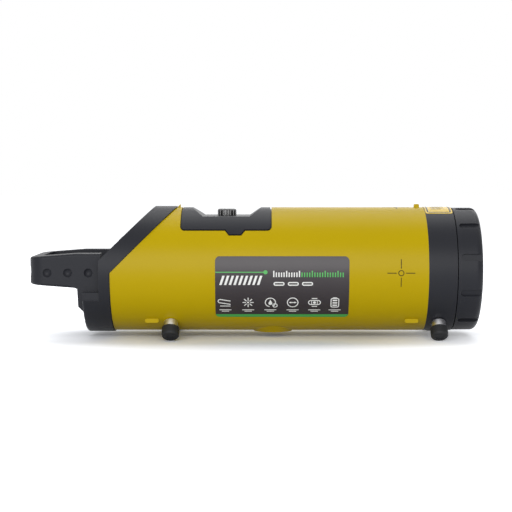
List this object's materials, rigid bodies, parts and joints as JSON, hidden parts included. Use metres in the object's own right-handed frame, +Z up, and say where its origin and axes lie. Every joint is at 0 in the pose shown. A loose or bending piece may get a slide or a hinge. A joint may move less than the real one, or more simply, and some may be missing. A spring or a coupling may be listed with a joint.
{
  "type": "pipe laser",
  "caption": "Tubular pipe laser with slanted key panel, carrying handle, top battery cover with thumb screw, screw-in feet, front window and an inner beam barrel that tilts and turns.",
  "frame": {"origin": "centre of the bounding box's bottom, on the plane that the four feet stand on", "axes": "+X along the tube towards the beam window, +Z up, the labelled side faces -Y"},
  "size_m": [0.4382, 0.125, 0.1317],
  "materials": {
    "yellow_paint": "fine textured coat",
    "black_plastic": "satin moulded",
    "black_rubber": "matt",
    "plated_steel": "bright plated",
    "steel": "machined",
    "brass": "machined",
    "aluminium": "machined",
    "black_anodised": "matt anodised",
    "panel_film": "satin printed film",
    "key_rubber": "silicone",
    "board_green": "lacquered board",
    "display_grey": "display",
    "case_plastic": "moulded",
    "cell_sleeve": "shrink sleeve",
    "clear_glass": "clear",
    "label_film": "satin printed film",
    "plate_film": "printed film",
    "sensor_white": "potted"
  },
  "bodies": {
    "housing": {"main_tube": "yellow_paint", "rear_housing": "black_plastic", "rear_gasket": "black_rubber", "handle": "black_plastic", "handle_screws": "steel", "housing_screws": "steel", "control_panel": "panel_film", "screen_window": "clear_glass", "display_module": "display_grey", "key_board": "board_green", "main_board": "board_green", "battery_tray": "case_plastic", "tray_insert": "brass", "bulkhead": "aluminium", "side_rails": "aluminium", "gimbal_ring": "aluminium", "line_pins": "steel", "line_motor": "black_anodised", "line_bracket": "aluminium", "tripod_insert": "steel", "front_collar": "black_plastic", "front_cap": "black_plastic", "window_glass": "clear_glass", "window_ring": "black_anodised", "side_label": "label_film", "top_plate": "plate_film"},
    "battery": {"battery_cover": "black_plastic", "pack_case": "case_plastic", "battery_cells": "cell_sleeve", "pack_contacts": "brass"},
    "thumb_screw": {"thumb_screw": "plated_steel"},
    "yoke": {"yoke": "aluminium", "pivot_bushes": "brass", "grade_motor": "black_anodised"},
    "line_screw": {"line_screw": "steel"},
    "line_nut": {"line_nut": "brass"},
    "grade_screw": {"grade_screw": "steel"},
    "grade_nut": {"grade_nut": "brass"},
    "beam": {"laser_barrel": "black_anodised", "rear_fork": "aluminium", "grade_pins": "steel", "laser_module": "brass", "beam_lens": "clear_glass", "level_sensor": "sensor_white"},
    "rear_near_foot": {"rear_near_leg": "plated_steel", "rear_near_tip": "black_rubber"},
    "rear_far_foot": {"rear_far_leg": "plated_steel", "rear_far_tip": "black_rubber"},
    "front_near_foot": {"front_near_leg": "plated_steel", "front_near_tip": "black_rubber"},
    "front_far_foot": {"front_far_leg": "plated_steel", "front_far_tip": "black_rubber"},
    "key_power": {"key_power": "key_rubber"},
    "key_menu": {"key_menu": "key_rubber"},
    "key_up": {"key_up": "key_rubber"},
    "key_enter": {"key_enter": "key_rubber"},
    "key_lamp": {"key_lamp": "key_rubber"},
    "key_left": {"key_left": "key_rubber"},
    "key_down": {"key_down": "key_rubber"},
    "key_right": {"key_right": "key_rubber"}
  },
  "joints": [
    {"name": "battery_lift", "type": "slide", "parent": "housing", "child": "battery", "axis": [0, 0, 1], "range_m": [0, 0.07]},
    {"name": "thumb_screw_turn", "type": "hinge", "parent": "battery", "child": "thumb_screw", "pos_m": [-0.02788, 0, 0.12033], "axis": [0, 0, 1], "continuous": true},
    {"name": "line_turn", "type": "hinge", "parent": "housing", "child": "yoke", "pos_m": [0.13987, 0, 0.06733], "axis": [0, 0, 1], "range_deg": [-8, 8]},
    {"name": "line_nut_travel", "type": "slide", "parent": "housing", "child": "line_nut", "axis": [0, 1, 0], "range_m": [-0.0155, 0.0155]},
    {"name": "line_screw_turn", "type": "hinge", "parent": "housing", "child": "line_screw", "pos_m": [0.03188, 0, 0.05433], "axis": [0, 1, 0], "range_deg": [-560, 560]},
    {"name": "grade_turn", "type": "hinge", "parent": "yoke", "child": "beam", "pos_m": [0.13987, 0, 0.06733], "axis": [0, -1, 0], "range_deg": [-8.5, 21.8]},
    {"name": "grade_nut_travel", "type": "slide", "parent": "yoke", "child": "grade_nut", "axis": [0, 0, 1], "range_m": [-0.0302, 0.012]},
    {"name": "grade_screw_turn", "type": "hinge", "parent": "yoke", "child": "grade_screw", "pos_m": [0.06388, 0, 0.06733], "axis": [0, 0, 1], "range_deg": [-440, 1105]},
    {"name": "rear_near_foot_unscrew", "type": "slide", "parent": "housing", "child": "rear_near_foot", "axis": [0, -0.6018, -0.7986], "range_m": [0, 0.008]},
    {"name": "rear_far_foot_unscrew", "type": "slide", "parent": "housing", "child": "rear_far_foot", "axis": [0, 0.6018, -0.7986], "range_m": [0, 0.008]},
    {"name": "front_near_foot_unscrew", "type": "slide", "parent": "housing", "child": "front_near_foot", "axis": [0, -0.6018, -0.7986], "range_m": [0, 0.008]},
    {"name": "front_far_foot_unscrew", "type": "slide", "parent": "housing", "child": "front_far_foot", "axis": [0, 0.6018, -0.7986], "range_m": [0, 0.008]},
    {"name": "key_power_press", "type": "slide", "parent": "housing", "child": "key_power", "axis": [0.7071, 0, -0.7071], "range_m": [0, 0.0008], "stiffness_N_per_m": 300, "springref_m": -0.002},
    {"name": "key_menu_press", "type": "slide", "parent": "housing", "child": "key_menu", "axis": [0.7071, 0, -0.7071], "range_m": [0, 0.0008], "stiffness_N_per_m": 300, "springref_m": -0.002},
    {"name": "key_up_press", "type": "slide", "parent": "housing", "child": "key_up", "axis": [0.7071, 0, -0.7071], "range_m": [0, 0.0008], "stiffness_N_per_m": 300, "springref_m": -0.002},
    {"name": "key_enter_press", "type": "slide", "parent": "housing", "child": "key_enter", "axis": [0.7071, 0, -0.7071], "range_m": [0, 0.0008], "stiffness_N_per_m": 300, "springref_m": -0.002},
    {"name": "key_lamp_press", "type": "slide", "parent": "housing", "child": "key_lamp", "axis": [0.7071, 0, -0.7071], "range_m": [0, 0.0008], "stiffness_N_per_m": 300, "springref_m": -0.002},
    {"name": "key_left_press", "type": "slide", "parent": "housing", "child": "key_left", "axis": [0.7071, 0, -0.7071], "range_m": [0, 0.0008], "stiffness_N_per_m": 300, "springref_m": -0.002},
    {"name": "key_down_press", "type": "slide", "parent": "housing", "child": "key_down", "axis": [0.7071, 0, -0.7071], "range_m": [0, 0.0008], "stiffness_N_per_m": 300, "springref_m": -0.002},
    {"name": "key_right_press", "type": "slide", "parent": "housing", "child": "key_right", "axis": [0.7071, 0, -0.7071], "range_m": [0, 0.0008], "stiffness_N_per_m": 300, "springref_m": -0.002}
  ],
  "couplings": [
    {"joint": "line_nut_travel", "follows": "line_turn", "m_per_rad": -0.10832},
    {"joint": "line_screw_turn", "follows": "line_turn", "ratio": 68.062},
    {"joint": "grade_nut_travel", "follows": "grade_turn", "m_per_rad": -0.07828},
    {"joint": "grade_screw_turn", "follows": "grade_turn", "ratio": 49.185}
  ]
}
